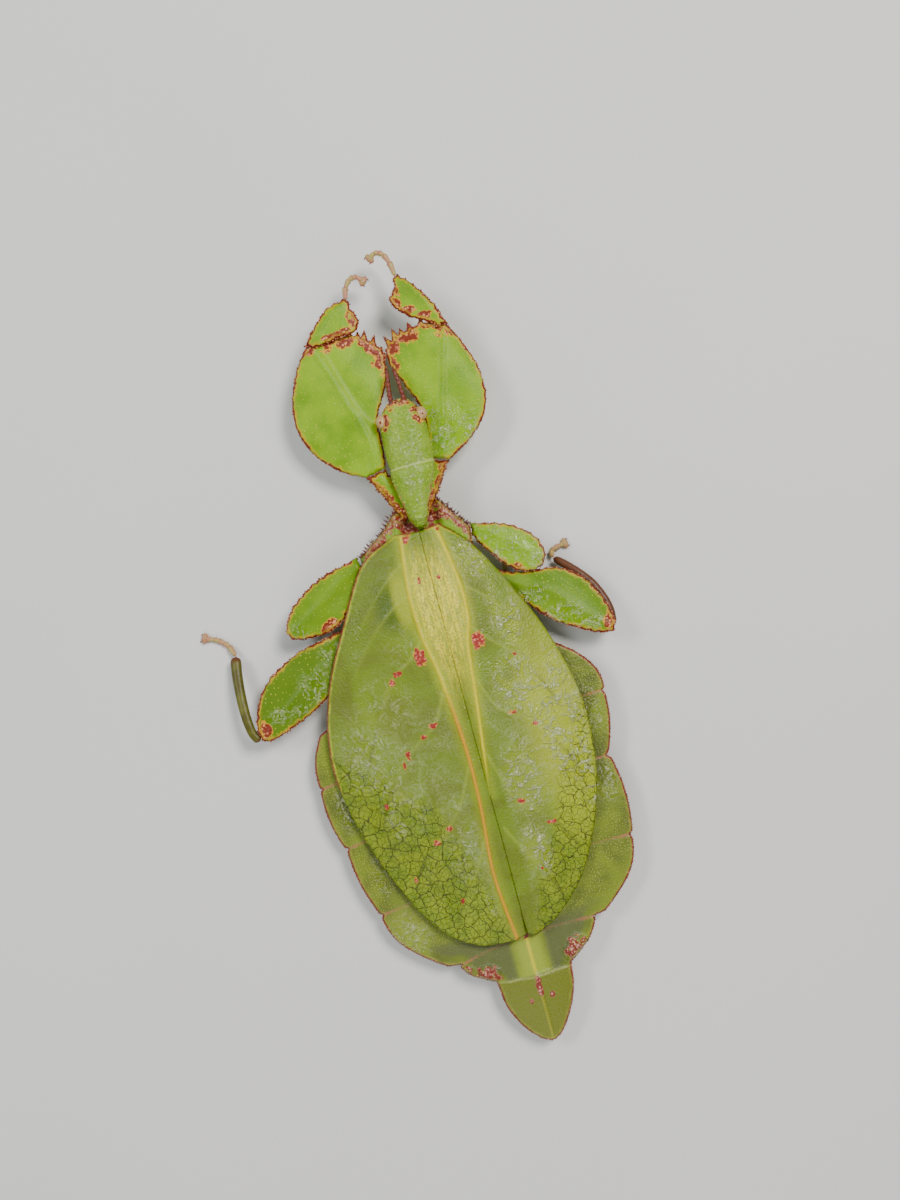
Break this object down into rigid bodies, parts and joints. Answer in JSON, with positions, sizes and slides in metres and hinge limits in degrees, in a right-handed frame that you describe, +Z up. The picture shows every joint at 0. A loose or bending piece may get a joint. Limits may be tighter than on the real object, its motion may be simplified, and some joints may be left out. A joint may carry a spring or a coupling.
{
  "type": "leaf insect",
  "caption": "Life-size model of a female leaf insect lying flat, with leaf-like wing covers, lobed legs and abdomen, and forelegs stretched past its head.",
  "frame": {"origin": "middle of the box's bottom face, on the surface that the insect lies on", "axes": "+Y along the body towards the tip of the abdomen, so the head points along -Y; +Z up through the back; +X towards the animal's left"},
  "size_m": [0.0572, 0.112, 0.0085],
  "materials": {
    "body_green": "wet, finely granular",
    "leaf_green": "satin with pale dots and brick-red rims",
    "tarsus_pink": "satin",
    "tegmen_green": "wet gloss, veined",
    "olive_green": "wet, finely granular, pink-red rims",
    "eye_cream": "gloss",
    "antenna_brown": "satin"
  },
  "bodies": {
    "root": {"head": "body_green", "eye_left": "eye_cream", "eye_right": "eye_cream", "antenna_left": "antenna_brown", "antenna_right": "antenna_brown", "mouthparts": "body_green", "prothorax": "body_green", "mesothorax": "body_green", "metathorax": "body_green", "abdomen": "olive_green", "abdomen_tip": "olive_green", "cercus_left": "olive_green", "cercus_right": "olive_green", "tegmen_left": "tegmen_green", "tegmen_right": "tegmen_green", "fore_coxa_left": "leaf_green", "fore_coxa_right": "leaf_green", "fore_femur_left": "leaf_green", "fore_femur_right": "leaf_green", "fore_tibia_left": "leaf_green", "fore_tibia_right": "leaf_green", "fore_tarsus_left": "tarsus_pink", "fore_tarsus_right": "tarsus_pink", "mid_coxa_left": "body_green", "mid_coxa_right": "body_green", "mid_femur_left": "leaf_green", "mid_femur_right": "leaf_green", "mid_tibia_left": "olive_green", "mid_tibia_right": "olive_green", "mid_tarsus_left": "tarsus_pink", "mid_tarsus_right": "tarsus_pink", "hind_coxa_left": "body_green", "hind_coxa_right": "body_green", "hind_femur_left": "leaf_green", "hind_femur_right": "leaf_green", "hind_tibia_left": "olive_green", "hind_tibia_right": "olive_green", "hind_tarsus_left": "tarsus_pink", "hind_tarsus_right": "tarsus_pink"}
  },
  "joints": []
}
